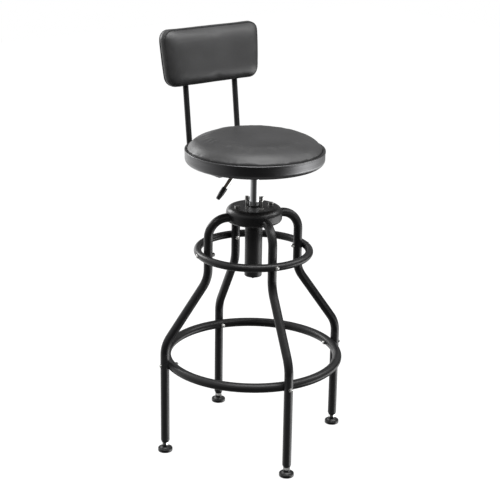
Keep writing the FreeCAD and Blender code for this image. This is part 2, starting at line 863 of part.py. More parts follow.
def ring_nuts(name, height, face_at):
    """Cap nuts that close the inner ends of the ring's bolts, with the face at face_at."""
    body = new_body(name)
    tall, across = size("ring_nut_height"), size("ring_nut_across")
    plan = new_sketch(body, name + "_plan", "YZ_Plane", offset=face_at - tall)
    draw_hexagon(plan, as_size(0), height, across)
    nut = feature(body, "Pad", name + "_hexagon", plan, Length=tall)
    dome = new_sketch(body, name + "_dome_section", "XZ_Plane", shift_y=height)
    low = face_at - tall - size("ring_nut_dome")
    draw(dome, [(low, 0), (low, across / 5), (face_at - tall, across / 2.3),
                (face_at - tall, 0)])
    cap = turned(body, name + "_dome", dome, axis="H_Axis")
    bore = new_sketch(body, name + "_bore_section", "XZ_Plane", shift_y=height)
    shank = size("ring_bolt_radius") + fit
    draw(bore, [(face_at - tall - 0.5, 0), (face_at - tall - 0.5, shank),
                (face_at + 1, shank), (face_at + 1, 0)])
    well = turned(body, name + "_bore", bore, axis="H_Axis", cut=True)
    around(body, name + "_pattern", [nut, cap, well])
    turn_to_legs(body)
    return body


# Levelling feet

def foot_pad(number):
    body = new_body("foot_pad_%d" % number)
    section = new_sketch(body, "pad_section_%d" % number, "XZ_Plane",
                         shift_x=size("leg_lower_reach"))
    radius, tall, boss = size("pad_radius"), size("pad_height"), size("pad_boss_radius")
    stem, bottom = size("stem_radius") + fit, size("stem_bottom")
    draw(section, [
        (0, 0), (radius, 0, 1), (radius, tall, size("pad_rounding")), (boss + 4, tall),
        (boss, tall + 3), (boss, size("pad_boss_height")), (stem, size("pad_boss_height")),
        (stem, bottom), (0, bottom)])
    turned(body, "pad_turn_%d" % number, section)
    turn_to_legs(body, number - 1)
    return body


def foot_stem(number):
    body = new_body("foot_stem_%d" % number)
    section = new_sketch(body, "stem_section_%d" % number, "XZ_Plane",
                         shift_x=size("leg_lower_reach"))
    radius, low, top = size("stem_radius"), size("stem_bottom"), stem_top
    draw(section, [(0, low), (radius, low), (radius, top - 1), (radius - 1, top), (0, top)])
    turned(body, "stem_turn_%d" % number, section)
    turn_to_legs(body, number - 1)
    return body


def foot_nut(number):
    body = new_body("foot_nut_%d" % number)
    low = size("pad_boss_height")
    plan = new_sketch(body, "nut_plan_%d" % number, "XY_Plane", offset=low)
    draw_hexagon(plan, size("leg_lower_reach"), as_size(0), size("lock_nut_across"))
    feature(body, "Pad", "nut_hexagon_%d" % number, plan, Length=size("lock_nut_height"))
    bore = new_sketch(body, "nut_bore_%d" % number, "XY_Plane", offset=low)
    draw_circle(bore, size("leg_lower_reach"), 0, size("stem_radius") + fit)
    through(body, "nut_hole_%d" % number, bore)
    turn_to_legs(body, number - 1)
    return body


# Seat mechanism: plate, lift socket, lever bracket and lever

def seat_plate():
    body = new_body("seat_plate")
    plan = new_sketch(body, "plate_plan", "XY_Plane", offset=plate_low)
    draw_box(plan, -size("plate_half_width"), size("plate_half_width"),
             -size("plate_half_length"), size("plate_half_length"), as_size(12))
    feature(body, "Pad", "plate", plan, Length=size("plate_thickness"))
    holes = new_sketch(body, "plate_hole_spots", "XY_Plane", offset=plate_low)
    for side in (-1, 1):
        for end in (-1, 1):
            draw_circle(holes, side * plate_screw_x, end * plate_screw_y,
                        size("plate_screw_radius") + size("bolt_gap"))
    through(body, "plate_holes", holes)
    return body


def lift_socket():
    """A sleeve with the lift's taper in its bore and a slot for the lever's tongue."""
    lift_top = lift_top_end
    wide, taper_low = size("lift_radius") + fit, lift_top - size("taper_length")
    narrow, low = wide - size("taper_reduction"), taper_low - size("socket_skirt")
    slot_low = lift_top + size("slot_above_lift")
    body = lathe("lift_socket", [
        (wide, low), (size("socket_radius"), low), (size("socket_radius"), plate_low),
        (narrow, plate_low), (narrow, lift_top), (wide, taper_low)])
    slot = new_sketch(body, "slot_plan", "XY_Plane", offset=slot_low)
    draw_box(slot, -size("socket_radius") - 2, 0, -size("socket_slot_width") / 2,
             size("socket_slot_width") / 2)
    feature(body, "Pocket", "lever_slot", slot, Reversed=True,
            Length=plate_low - slot_low)
    return body


def lever_bracket():
    """Two ears under the plate, one each side of the lever's eye, joined below it."""
    body = new_body("lever_bracket")
    out, half, low = lever_pivot_out, size("ear_half_length"), ear_low
    inner = size("lever_eye_width") / 2 + size("soft_gap")
    for side in (-1, 1):
        plan = new_sketch(body, "ear_profile_%d" % (side + 1), "XZ_Plane", offset=-side * inner)
        draw(plan, [(-out - half, plate_low), (-out - half, low, 5), (-out + half, low, 5),
                    (-out + half, plate_low)])
        draw_circle(plan, -out, lever_height, size("lever_pin_radius") + fit)
        feature(body, "Pad", "ear_%d" % (side + 1), plan, Length=size("ear_thickness"),
                Reversed=side > 0)
    web = new_sketch(body, "web_profile", "XZ_Plane")
    draw_box(web, -out - half + 5, -out + half - 5, low, low + size("bracket_web"))
    feature(body, "Pad", "web", web, Length=2 * inner + 2, Midplane=True)
    return body


def lever_pin():
    body = new_body("lever_pin")
    ends = size("lever_eye_width") / 2 + size("soft_gap") + size("ear_thickness")
    section = new_sketch(body, "pin_section", "YZ_Plane", offset=-lever_pivot_out,
                         shift_y=lever_height)
    radius, head, tall = size("lever_pin_radius"), size("pin_head_radius"), size("pin_head_height")
    draw(section, [
        (-ends - tall, 0), (-ends - tall, head), (-ends, head), (-ends, radius),
        (ends, radius), (ends, head), (ends + tall, head), (ends + tall, 0)])
    turned(body, "pin_turn", section, axis="H_Axis")
    return body


def lever_slope():
    """The angle below level of the lever's outer run."""
    return arc_tangent((lever_height - lever_tip_height)
                       / (lever_tip_out - lever_bend_out))


def lever():
    body = new_body("lever")
    out, tall = lever_pivot_out, lever_height
    slope = lever_slope()
    end_out = lever_tip_out - size("grip_cover") * cosine(slope)
    end_height = lever_tip_height + size("grip_cover") * sine(slope)
    path = draw(new_sketch(body, "lever_path", "XZ_Plane"), [
        (-out, tall), (-lever_bend_out, tall, size("lever_bend")),
        (-end_out, end_height)], closed=False)
    section = new_sketch(body, "lever_section", "YZ_Plane", offset=-out)
    draw_circle(section, 0, tall, size("lever_radius"))
    feature(body, "AdditivePipe", "lever_run", section, Spine=path)
    eye = new_sketch(body, "eye_profile", "XZ_Plane")
    draw_circle(eye, -out, tall, size("lever_eye_radius"))
    feature(body, "Pad", "eye", eye, Length=size("lever_eye_width"), Midplane=True)
    tongue_low = lift_top_end + size("valve_pin_rise") + 0.15
    tongue = new_sketch(body, "tongue_profile", "XZ_Plane")
    draw_box(tongue, -out, size("lever_tongue_reach"), tongue_low,
             tongue_low + size("lever_tongue_thickness"))
    feature(body, "Pad", "tongue", tongue, Length=size("lever_tongue_width"), Midplane=True)
    bore = new_sketch(body, "eye_bore_profile", "XZ_Plane")
    draw_circle(bore, -out, tall, size("lever_pin_radius") + axis_gap)
    through(body, "eye_bore", bore)
    return body


def lever_grip():
    """A tapered sleeve over the lever's end, drawn along its own axis and then leaned."""
    body = new_body("lever_grip")
    section = new_sketch(body, "grip_section", "XZ_Plane")
    inner, length, cover = size("lever_radius") + fit, size("grip_length"), size("grip_cover")
    draw(section, [
        (0, 0), (size("grip_tip_radius"), 0, 3), (size("grip_radius"), length * 0.55),
        (size("grip_radius"), length, 1), (inner, length), (inner, cover), (0, cover)])
    turned(body, "grip_turn", section)
    body.Placement = FreeCAD.Placement(Vector(), FreeCAD.Rotation(Vector(0, 1, 0), 1))
    bind(body, "Placement.Base.x", -lever_tip_out)
    bind(body, "Placement.Base.z", lever_tip_height)
    bind(body, "Placement.Rotation.Angle", 90 - lever_slope())
    return body


def screw_group(name, places, seat, shank, head, head_height, length):
    """Screws pointing up, with domed heads whose upper faces lie at height seat."""
    body = new_body(name)
    for number, (x, y) in enumerate(places):
        section = new_sketch(body, "%s_section_%d" % (name, number), "XZ_Plane",
                             offset=-y, shift_x=x)
        draw(section, [
            (0, seat - head_height), (head / 2, seat - head_height),
            (head, seat - head_height / 2), (head, seat), (shank, seat),
            (shank, seat + length - shank), (0, seat + length)])
        turned(body, "%s_screw_%d" % (name, number), section)
    return body


def plate_screws():
    places = [(side * plate_screw_x, end * plate_screw_y)
              for side in (-1, 1) for end in (-1, 1)]
    return screw_group("plate_screws", places, plate_low, size("plate_screw_radius"),
                       size("plate_screw_head_radius"), size("plate_screw_head_height"),
                       size("plate_screw_length"))


# Backrest: posts, clamps, board and pad

def post_line_distance(height):
    """How far behind the axis a post's centre line passes at a height."""
    lean = angle("back_lean")
    return (back_distance + size("post_behind") / cosine(lean)
            + (height - back_centre_height) * tangent(lean))


def post(name, side):
    """A round rod: level under the seat, bent up behind it, with a flattened upper end."""
    body = new_body(name)
    lean = angle("back_lean")
    run, corner_back = post_run_height, post_line_distance(post_run_height)
    below = size("back_height") / 2 - size("post_round_end")
    top_height = (back_centre_height - below * cosine(lean)
                  - size("post_behind") * sine(lean))
    path = draw(new_sketch(body, name + "_path", "YZ_Plane"), [
        (size("post_front_end"), run), (corner_back, run, size("post_bend")),
        (post_line_distance(top_height), top_height)], closed=False)
    section = new_sketch(body, name + "_section", "XZ_Plane", offset=-size("post_front_end"))
    draw_circle(section, 0, run, size("post_radius"))
    feature(body, "AdditivePipe", name + "_rod", section, Spine=path)
    bind(body, "Placement.Base.x", side * size("post_spacing") / 2)
    return body


def in_back_frame(piece):
    """Stand a piece drawn about the backrest's centre in the leaned backrest."""
    piece.Placement = FreeCAD.Placement(Vector(), FreeCAD.Rotation(Vector(-1, 0, 0), 1))
    bind(piece, "Placement.Base.y", back_distance)
    bind(piece, "Placement.Base.z", back_centre_height)
    bind(piece, "Placement.Rotation.Angle", angle("back_lean"))
    return piece


def board_back():
    return size("back_board_thickness") - size("back_board_front")


def post_tab(name, side):
    """The flattened end of a post, flat on the back of the board."""
    body = new_body(name)
    half = size("post_tab_width") / 2
    low = -(size("back_height") / 2 - size("post_round_end")) - 6
    face = board_back() + fit
    profile = new_sketch(body, name + "_profile", "XZ_Plane", offset=-face)
    centre = side * size("post_spacing") / 2
    draw_box(profile, centre - half, centre + half, low, size("post_tab_rise"), as_size(4))
    for height in tab_screw_heights():
        draw_circle(profile, centre, height, size("tab_screw_radius") + size("bolt_gap"))
    feature(body, "Pad", name + "_plate", profile, Length=size("post_tab_thickness"),
            Reversed=True)
    return in_back_frame(body)


def tab_screw_heights():
    centre, half = size("tab_screw_centre"), size("tab_screw_spacing") / 2
    return [centre - half, centre + half]


def whole_post(name, side):
    rod = post(name + "_rod", side)
    tab = post_tab(name + "_tab", side)
    fuse = doc.addObject("Part::Fuse", name)
    fuse.Label = name
    fuse.Base, fuse.Tool = rod, tab
    return fuse


def post_clamp(name, side):
    """A block under the seat board that holds a post, with a bore along the post."""
    body = new_body(name)
    centre, half = side * size("post_spacing") / 2, size("clamp_half_width")
    profile = new_sketch(body, name + "_profile", "XZ_Plane", offset=-size("clamp_front"))
    draw(profile, [
        (centre - half, board_low), (centre - half, clamp_underside, 5),
        (centre + half, clamp_underside, 5), (centre + half, board_low)])
    draw_circle(profile, centre, post_run_height, size("post_radius") + fit)
    feature(body, "Pad", name + "_block", profile, Length=size("clamp_length"), Reversed=True)
    holes = new_sketch(body, name + "_hole_spots", "XY_Plane", offset=board_low)
    for way in (-1, 1):
        draw_circle(holes, centre + way * size("clamp_screw_out"), clamp_middle(),
                    size("clamp_screw_radius") + size("bolt_gap"))
    through(body, name + "_holes", holes)
    return body


def clamp_middle():
    return size("clamp_front") + size("clamp_length") / 2


def clamp_screw_places():
    return [(side * size("post_spacing") / 2 + way * size("clamp_screw_out"), clamp_middle())
            for side in (-1, 1) for way in (-1, 1)]


def clamp_screws():
    seat = clamp_underside
    length = board_low - seat + size("clamp_screw_into_board")
    return screw_group("clamp_screws", clamp_screw_places(), seat, size("clamp_screw_radius"),
                       size("clamp_screw_head_radius"), size("clamp_screw_head_height"), length)


def back_board():
    body = new_body("back_board")
    half_wide, half_tall = size("back_board_width") / 2, size("back_board_height") / 2
    profile = new_sketch(body, "back_board_profile", "XZ_Plane", offset=size("back_board_front"))
    draw_box(profile, -half_wide, half_wide, -half_tall, half_tall, size("back_board_corner"))
    feature(body, "Pad", "back_board_pad", profile, Length=size("back_board_thickness"),
            Reversed=True)
    holes = new_sketch(body, "back_board_pilots", "XZ_Plane", offset=-board_back())
    for side in (-1, 1):
        for height in tab_screw_heights():
            draw_circle(holes, side * size("post_spacing") / 2, height,
                        size("tab_screw_radius") + fit)
    feature(body, "Pocket", "back_board_holes", holes,
            Length=size("tab_screw_length") - size("post_tab_thickness") + 1, Reversed=True)
    return in_back_frame(body)


def tab_screws():
    """Screws from behind, through the posts' flattened ends and into the board."""
    body = new_body("tab_screws")
    face = board_back() + fit + size("post_tab_thickness")
    shank, head = size("tab_screw_radius"), size("tab_screw_head_radius")
    tall, length = size("tab_screw_head_height"), size("tab_screw_length")
    number = 0
    for side in (-1, 1):
        for height in tab_screw_heights():
            section = new_sketch(body, "tab_screw_section_%d" % number, "YZ_Plane",
                                 offset=side * size("post_spacing") / 2, shift_y=height)
            draw(section, [
                (face + tall, 0), (face + tall, head / 2), (face + tall / 2, head),
                (face, head), (face, shank), (face - length + shank, shank),
                (face - length, 0)])
            turned(body, "tab_screw_%d" % number, section, axis="H_Axis")
            number += 1
    return in_back_frame(body)


def backrest_pad():
    """A pillow a little wider at the top, crowned in front, hollow round the board."""
    body = new_body("backrest_pad")
    half = size("back_thickness") / 2
    draw_in, crown, corner = size("back_draw"), size("back_crown_step"), size("back_corner")
    stations = [
        (-half, crown * 1.6), (-half * 0.9, crown * 0.75), (-half * 0.68, draw_in),
        (-half * 0.4, as_size(0)), (half * 0.45, as_size(0)), (half * 0.8, draw_in / 2),
        (half, draw_in * 1.5)]
    outlines = []
    for number, (back, inset) in enumerate(stations):
        outline = new_sketch(body, "pad_outline_%d" % number, "XZ_Plane", offset=-back)
        wide, tall = size("back_width") / 2 - inset, size("back_height") / 2 - inset
        flare = size("back_flare")
        rounding = corner if inset.value < corner.value / 2 else corner / 1.5
        draw(outline, [
            (flare - wide, -tall, rounding), (wide - flare, -tall, rounding),
            (wide + flare, tall, rounding), (-wide - flare, tall, rounding)])
        outlines.append(outline)
    loft = feature(body, "AdditiveLoft", "pad_loft", outlines[0], Ruled=True)
    loft.Sections = outlines[1:]
    pocket = new_sketch(body, "board_room", "XZ_Plane", offset=size("back_board_front") + soft)
    half_wide, half_tall = size("back_board_width") / 2, size("back_board_height") / 2
    draw_box(pocket, -half_wide - soft, half_wide + soft, -half_tall - soft, half_tall + soft)
    feature(body, "Pocket", "board_hollow", pocket,
            Length=size("back_board_thickness") + 2 * soft)
    low = -(size("back_height") / 2 - size("post_round_end"))
    for side in (-1, 1):
        centre = side * size("post_spacing") / 2
        wide = size("post_tab_width") / 2 + soft
        room = new_sketch(body, "tab_room_%d" % (side + 1), "XZ_Plane", offset=-board_back())
        draw_box(room, centre - wide, centre + wide, low - 6 - soft,
                 size("post_tab_rise") + soft)
        feature(body, "Pocket", "tab_hollow_%d" % (side + 1), room,
                Length=fit + size("post_tab_thickness") + size("tab_screw_head_height") + soft)
        way_in = new_sketch(body, "post_way_%d" % (side + 1), "XY_Plane", offset=low + soft)
        draw_circle(way_in, centre, size("post_behind"), size("post_radius") + soft)
        feature(body, "Pocket", "post_hollow_%d" % (side + 1), way_in, Type=1)
    return in_back_frame(body)


# Build every piece

builders = [
    seat_band, seat_board, seat_cushion, pressure_cylinder, cylinder_gland, valve_block,
    valve_pin, piston_rod, piston, thrust_bearing, column, guide_bush, neck_seal, hub,
    neck_bolts, hub_bolts, seat_plate, lift_socket, lever_bracket, lever_pin,
    lever, lever_grip, plate_screws, clamp_screws, back_board, tab_screws,
    backrest_pad]
for build in builders:
    keep(build())
for piece in lift_rings():
    keep(piece)
for number in range(1, LEG_COUNT + 1):
    for build in (leg, leg_insert, foot_pad, foot_stem, foot_nut):
        keep(build(number))
for side, way in ((-1, "left"), (1, "right")):
    keep(whole_post("post_" + way, side))
    keep(post_clamp("post_clamp_" + way, side))
upper_ring_reach = leg_reach(size("upper_ring_height")) + size("upper_ring_outset")
lower_ring_reach = size("leg_lower_reach") - size("lower_ring_inset")
keep(ring("upper_ring", upper_ring_reach, size("upper_ring_height"), size("upper_ring_tube")))
keep(ring("lower_ring", lower_ring_reach, size("lower_ring_height"), size("lower_ring_tube")))

# Upper ring: heads outside the ring, nuts inside the legs. Lower ring: heads outside the
# legs, nuts inside the ring
upper_head = upper_ring_reach + size("upper_ring_tube")
upper_nut = leg_reach(size("upper_ring_height") + size("ring_nut_across") / root(as_size(3)),
                      -size("leg_radius"))
lower_head = size("leg_lower_reach") + size("leg_radius")
lower_nut = lower_ring_reach - size("lower_ring_tube") - 2 * fit
for name, height, head_at, nut_at in (
        ("upper_ring", size("upper_ring_height"), upper_head, upper_nut),
        ("lower_ring", size("lower_ring_height"), lower_head, lower_nut)):
    keep(ring_bolts(name + "_bolts", height, head_at, nut_at - size("ring_nut_height")))
    keep(ring_nuts(name + "_nuts", height, nut_at))

doc.recompute()

for item in doc.Objects:
    if "Invalid" in item.State or "Error" in item.State:
        raise RuntimeError("%s could not be built: %s" % (item.Label, item.State))
for piece in pieces:
    if piece.Shape.isNull() or not piece.Shape.isValid() or not piece.Shape.Solids:
        raise RuntimeError("%s has no sound shape" % piece.Label)

os.makedirs("parts", exist_ok=True)
for piece in pieces:
    piece.Shape.exportStep("parts/%s.step" % piece.Label)
    print(piece.Label, len(piece.Shape.Solids), round(piece.Shape.Volume))
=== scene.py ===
import json
import math

import bpy
from mathutils import Matrix, Vector
from mathutils.bvhtree import BVHTree


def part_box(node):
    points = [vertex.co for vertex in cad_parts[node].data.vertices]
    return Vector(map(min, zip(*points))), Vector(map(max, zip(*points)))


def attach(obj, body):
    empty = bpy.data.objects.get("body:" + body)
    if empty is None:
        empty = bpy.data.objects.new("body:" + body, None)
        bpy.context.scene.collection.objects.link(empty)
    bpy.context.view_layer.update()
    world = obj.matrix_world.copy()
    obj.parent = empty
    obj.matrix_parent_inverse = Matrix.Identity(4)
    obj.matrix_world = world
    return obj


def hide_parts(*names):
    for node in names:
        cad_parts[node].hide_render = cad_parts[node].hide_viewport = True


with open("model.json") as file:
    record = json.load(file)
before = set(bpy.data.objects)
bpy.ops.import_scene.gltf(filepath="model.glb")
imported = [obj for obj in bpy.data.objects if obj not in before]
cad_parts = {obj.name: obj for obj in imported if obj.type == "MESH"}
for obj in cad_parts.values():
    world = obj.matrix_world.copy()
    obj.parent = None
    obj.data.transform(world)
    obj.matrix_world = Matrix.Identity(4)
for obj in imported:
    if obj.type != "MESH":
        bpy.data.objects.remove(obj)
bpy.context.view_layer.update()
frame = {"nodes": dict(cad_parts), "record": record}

scene = bpy.context.scene
UP = Vector((0, 0, 1))

# Seat, in metres: what the cushion fills, and the inner edge of the band's lip
cushion_low, cushion_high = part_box("seat_cushion")
band_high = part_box("seat_band")[1]
CUSHION_UNDERSIDE = cushion_low.z
CROWN_TOP = cushion_high.z
BAND_TOP = band_high.z
LIP_INSIDE = 0.1782

# Backrest pad: the middle of its panel, its lean, its size, and its widening to the top
BACK_DISTANCE = 0.1915
BACK_HEIGHT = 1.0504
BACK_LEAN = math.radians(6.6)
BACK_WIDE = 0.3080
BACK_TALL = 0.1511
BACK_FLARE = 0.0319


# Material helpers

# Sockets of a Mix node that is set to colours
MIX_FACTOR, MIX_FIRST, MIX_SECOND, MIX_RESULT = 0, 6, 7, 2

EVEN = (1, 1, 1)
NOISE_LOW, NOISE_HIGH = 0.35, 0.65


def new_material(name):
    mat = bpy.data.materials.new(name)
    mat.use_nodes = True
    mat.node_tree.nodes.clear()
    out = mat.node_tree.nodes.new("ShaderNodeOutputMaterial")
    shader = mat.node_tree.nodes.new("ShaderNodeBsdfPrincipled")
    mat.node_tree.links.new(shader.outputs["BSDF"], out.inputs["Surface"])
    return mat, shader


def node(mat, kind, **inputs):
    made = mat.node_tree.nodes.new("ShaderNode" + kind)
    for key, value in inputs.items():
        if key in made.inputs:
            made.inputs[key].default_value = value
        else:
            setattr(made, key, value)
    return made


def join(mat, source, target):
    mat.node_tree.links.new(source, target)


def stretched(mat, scale):
    """Object coordinates in metres, multiplied along each axis."""
    coords = node(mat, "TexCoord")
    mapping = node(mat, "Mapping")
    mapping.inputs["Scale"].default_value = scale
    join(mat, coords.outputs["Object"], mapping.inputs["Vector"])
    return mapping.outputs["Vector"]


def noise(mat, vector, scale, detail=3.0, roughness=0.5):
    made = node(mat, "TexNoise", Scale=scale, Detail=detail, Roughness=roughness)
    join(mat, vector, made.inputs["Vector"])
    return made.outputs["Fac"]


def spread(mat, source, low, high, from_low=NOISE_LOW, from_high=NOISE_HIGH):
    """Spreads the middle of a noise, or a given span, over low to high."""
    made = node(mat, "MapRange")
    made.inputs["From Min"].default_value = from_low
    made.inputs["From Max"].default_value = from_high
    made.inputs["To Min"].default_value = low
    made.inputs["To Max"].default_value = high
    join(mat, source, made.inputs["Value"])
    return made.outputs["Result"]


def colour_mix(mat, factor, low, high):
    """Mixes two colours, each a triple or another node's output."""
    made = node(mat, "Mix", data_type="RGBA")
    for socket, value in ((MIX_FIRST, low), (MIX_SECOND, high)):
        if isinstance(value, bpy.types.NodeSocket):
            join(mat, value, made.inputs[socket])
        else:
            made.inputs[socket].default_value = (*value, 1)
    if isinstance(factor, bpy.types.NodeSocket):
        join(mat, factor, made.inputs[MIX_FACTOR])
    else:
        made.inputs[MIX_FACTOR].default_value = factor
    return made.outputs[MIX_RESULT]


def times(colour, factor, lift=0.0):
    return [c * factor + lift for c in colour]


def dress(mat, shader, base, gloss, bumps):
    """Sets colour and roughness, and adds up bumps of (height, strength, depth in m)."""
    join(mat, base, shader.inputs["Base Color"])
    join(mat, gloss, shader.inputs["Roughness"])
    last = None
    for height, strength, distance in bumps:
        made = node(mat, "Bump", Strength=strength, Distance=distance)
        join(mat, height, made.inputs["Height"])
        if last is not None:
            join(mat, last, made.inputs["Normal"])
        last = made.outputs["Normal"]
    join(mat, last, shader.inputs["Normal"])


# Rubbed edges of paint: where on the Pointiness scale they start and end, and their share
RUB_START, RUB_END, RUB_SHARE = 0.505, 0.56, 0.35


def paint(name, colour, roughness, specular=0.5, peel=0.25, scale=1.0):
    """Powder-coated metal: fine orange peel, cloudy gloss, paler rubbed edges."""
    mat, shader = new_material(name)
    even = stretched(mat, EVEN)
    cloud = noise(mat, even, scale=9 * scale, detail=4)
    fleck = noise(mat, even, scale=420 * scale, detail=2)
    pointed = node(mat, "NewGeometry").outputs["Pointiness"]
    edges = spread(mat, pointed, 0.0, 1.0, RUB_START, RUB_END)
    base = colour_mix(mat, spread(mat, cloud, 0, 1), colour, times(colour, 1.5))
    rubbed = colour_mix(mat, edges, colour, times(colour, 3, 0.02))
    shader.inputs["Specular IOR Level"].default_value = specular
    dress(mat, shader, colour_mix(mat, RUB_SHARE, base, rubbed),
          spread(mat, cloud, roughness * 0.85, roughness * 1.2),
          [(fleck, peel, 0.00012)])
    return mat


def metal(name, colour, roughness, scratch):
    """Bare or plated metal with fine lines in its gloss."""
    mat, shader = new_material(name)
    even = stretched(mat, EVEN)
    lines = noise(mat, even, scale=700)
    cloud = noise(mat, even, scale=30)
    shader.inputs["Metallic"].default_value = 1.0
    dress(mat, shader,
          colour_mix(mat, spread(mat, cloud, 0, 1), times(colour, 0.88), colour),
          spread(mat, lines, roughness * 0.75, roughness * 1.35),
          [(lines, scratch, 0.00006)])
    return mat


def band_metal(name, low, high):
    """Satin black steel, rubbed round the band, so that its streaks run level."""
    mat, shader = new_material(name)
    streak = noise(mat, stretched(mat, (5, 5, 420)), scale=1.6, detail=4, roughness=0.6)
    cloud = noise(mat, stretched(mat, EVEN), scale=8)
    shader.inputs["Metallic"].default_value = 1.0
    dress(mat, shader, colour_mix(mat, spread(mat, streak, 0, 1), low, high),
          spread(mat, cloud, 0.27, 0.34), [(streak, 0.18, 0.00012)])
    return mat


def vinyl(name, colour, roughness, specular):
    """Upholstery vinyl: pebbled grain, slow clouds of gloss, a faint pull of the cover."""
    mat, shader = new_material(name)
    even = stretched(mat, EVEN)
    pebble = node(mat, "TexVoronoi", Scale=850.0, Randomness=1.0)
    pebble.feature = "SMOOTH_F1"
    join(mat, even, pebble.inputs["Vector"])
    cloud = noise(mat, even, scale=14, detail=4)
    pull = noise(mat, stretched(mat, (1, 1, 1.6)), scale=22, detail=2)
    shader.inputs["Specular IOR Level"].default_value = specular
    dress(mat, shader,
          colour_mix(mat, spread(mat, cloud, 0, 1), colour, times(colour, 1.18)),
          spread(mat, cloud, roughness * 0.92, roughness * 1.1),
          [(pull, 0.10, 0.0018), (pebble.outputs["Distance"], 0.22, 0.0002)])
    return mat


def plastic(name, colour, roughness, specular=0.5):
    """Plastic or rubber with a fine moulded grain."""
    mat, shader = new_material(name)
    even = stretched(mat, EVEN)
    cloud = noise(mat, even, scale=60)
    grain = noise(mat, even, scale=900, detail=2)
    shader.inputs["Specular IOR Level"].default_value = specular
    dress(mat, shader,
          colour_mix(mat, spread(mat, cloud, 0, 1), colour, times(colour, 1.3)),
          spread(mat, cloud, roughness * 0.9, roughness * 1.15),
          [(grain, 0.2, 0.0001)])
    return mat


def plywood(name, low, high):
    mat, shader = new_material(name)
    grain = noise(mat, stretched(mat, (1, 9, 40)), scale=14, detail=6, roughness=0.65)
    cloud = noise(mat, stretched(mat, EVEN), scale=6)
    dress(mat, shader, colour_mix(mat, spread(mat, grain, 0, 1), low, high),
          spread(mat, cloud, 0.55, 0.75), [(grain, 0.3, 0.0004)])
    return mat


# Linear colours; the number after each is its roughness
black_paint = paint("black_paint", (0.010, 0.010, 0.0105), 0.34, specular=0.36)
casting_paint = paint("casting_paint", (0.011, 0.011, 0.0115), 0.36, peel=0.4, scale=0.7)
satin_band = band_metal("satin_band", (0.126, 0.126, 0.129), (0.160, 0.160, 0.163))
chrome = metal("chrome_plate", (0.86, 0.87, 0.88), 0.06, scratch=0.03)
zinc = metal("zinc_steel", (0.72, 0.72, 0.70), 0.22, scratch=0.12)
dark_steel = metal("blackened_steel", (0.36, 0.36, 0.35), 0.30, scratch=0.2)
steel = metal("turned_steel", (0.56, 0.56, 0.55), 0.28, scratch=0.15)
cover = vinyl("black_vinyl", (0.028, 0.028, 0.0285), 0.44, specular=0.45)
# Piping: darker than the cover's vinyl, which paints the shade along the pad's seams into
# its colour
piping_with_painted_shade = plastic("cover_piping_painted_shade", (0.016, 0.016, 0.0165), 0.60, specular=0.2)
black_plastic = plastic("black_plastic", (0.012, 0.012, 0.012), 0.36)
rubber = plastic("black_rubber", (0.014, 0.014, 0.014), 0.62)
board_wood = plywood("plywood_board", (0.20, 0.155, 0.11), (0.32, 0.25, 0.18))

by_slot = {
    "black_paint": black_paint, "band_paint": satin_band, "casting": casting_paint,
    "chrome": chrome, "steel": zinc, "dark_steel": dark_steel,
    "black_plastic": black_plastic, "rubber": rubber, "plywood": board_wood,
    "upholstery": cover}
for part in frame["record"]["subparts"]:
    obj = frame["nodes"][part["node"]]
    obj.data.materials.clear()
    obj.data.materials.append(by_slot[part["material_slot"]])
for name in ("piston_rod", "piston", "valve_block", "cylinder_gland", "lever_pin"):
    frame["nodes"][name].data.materials[0] = steel


# Mesh helpers

def mesh_object(name, verts, faces, mat, smooth=True):
    mesh = bpy.data.meshes.new(name)
    mesh.from_pydata([tuple(v) for v in verts], [], faces)
    mesh.update()
    obj = bpy.data.objects.new(name, mesh)
    scene.collection.objects.link(obj)
    obj.data.materials.append(mat)
    if smooth:
        smooth_faces(mesh)
    return obj


def smooth_faces(mesh):
    for face in mesh.polygons:
        face.use_smooth = True


def circle(count):
    """The angles of so many points, evenly spaced round a circle."""
    return [2 * math.pi * s / count for s in range(count)]


def quads(rows, count, closed=False):
    """Faces between neighbouring rings, and from the last to the first if closed."""
    faces = []
    for i in range(rows if closed else rows - 1):
        a, b = i * count, (i + 1) % rows * count
        for j in range(count):
            k = (j + 1) % count
            faces.append((a + j, a + k, b + k, b + j))
    return faces


def rings_to_mesh(rings):
    """Joins closed rings of equally many points, with a fan on each end."""
    count = len(rings[0])
    verts = [p for ring in rings for p in ring]
    faces = quads(len(rings), count)
    for ring, start, flip in ((rings[0], 0, True),
                              (rings[-1], (len(rings) - 1) * count, False)):
        tip = len(verts)
        verts.append(sum(ring, Vector()) / count)
        for j in range(count):
            a, b = start + j, start + (j + 1) % count
            faces.append((b, a, tip) if flip else (a, b, tip))
    return verts, faces


TUBE_SIDES = 8
# Never along a path, so that a ring of the tube can be set square to it
TUBE_UP = Vector((0, 0.2, 1))


def tube(name, points, radius, mat):
    """A closed tube round a closed path."""
    rings = []
    for i, p in enumerate(points):
        along = (points[(i + 1) % len(points)] - points[i - 1]).normalized()
        out = along.cross(TUBE_UP).normalized()
        up = out.cross(along).normalized()
        rings.append([p + (out * math.cos(t) + up * math.sin(t)) * radius
                      for t in circle(TUBE_SIDES)])
    verts = [p for ring in rings for p in ring]
    return mesh_object(name, verts, quads(len(rings), TUBE_SIDES, closed=True), mat)


def activate(obj):
    bpy.ops.object.select_all(action="DESELECT")
    obj.select_set(True)
    bpy.context.view_layer.objects.active = obj


CLOTH_VOXEL = 0.005
CLOTH_PRESSURE = 4.0
CLOTH_FRAMES = 20
CLOTH_QUALITY = 5
RELAX_ROUNDS = 2
RELAX_FACTOR = 0.5


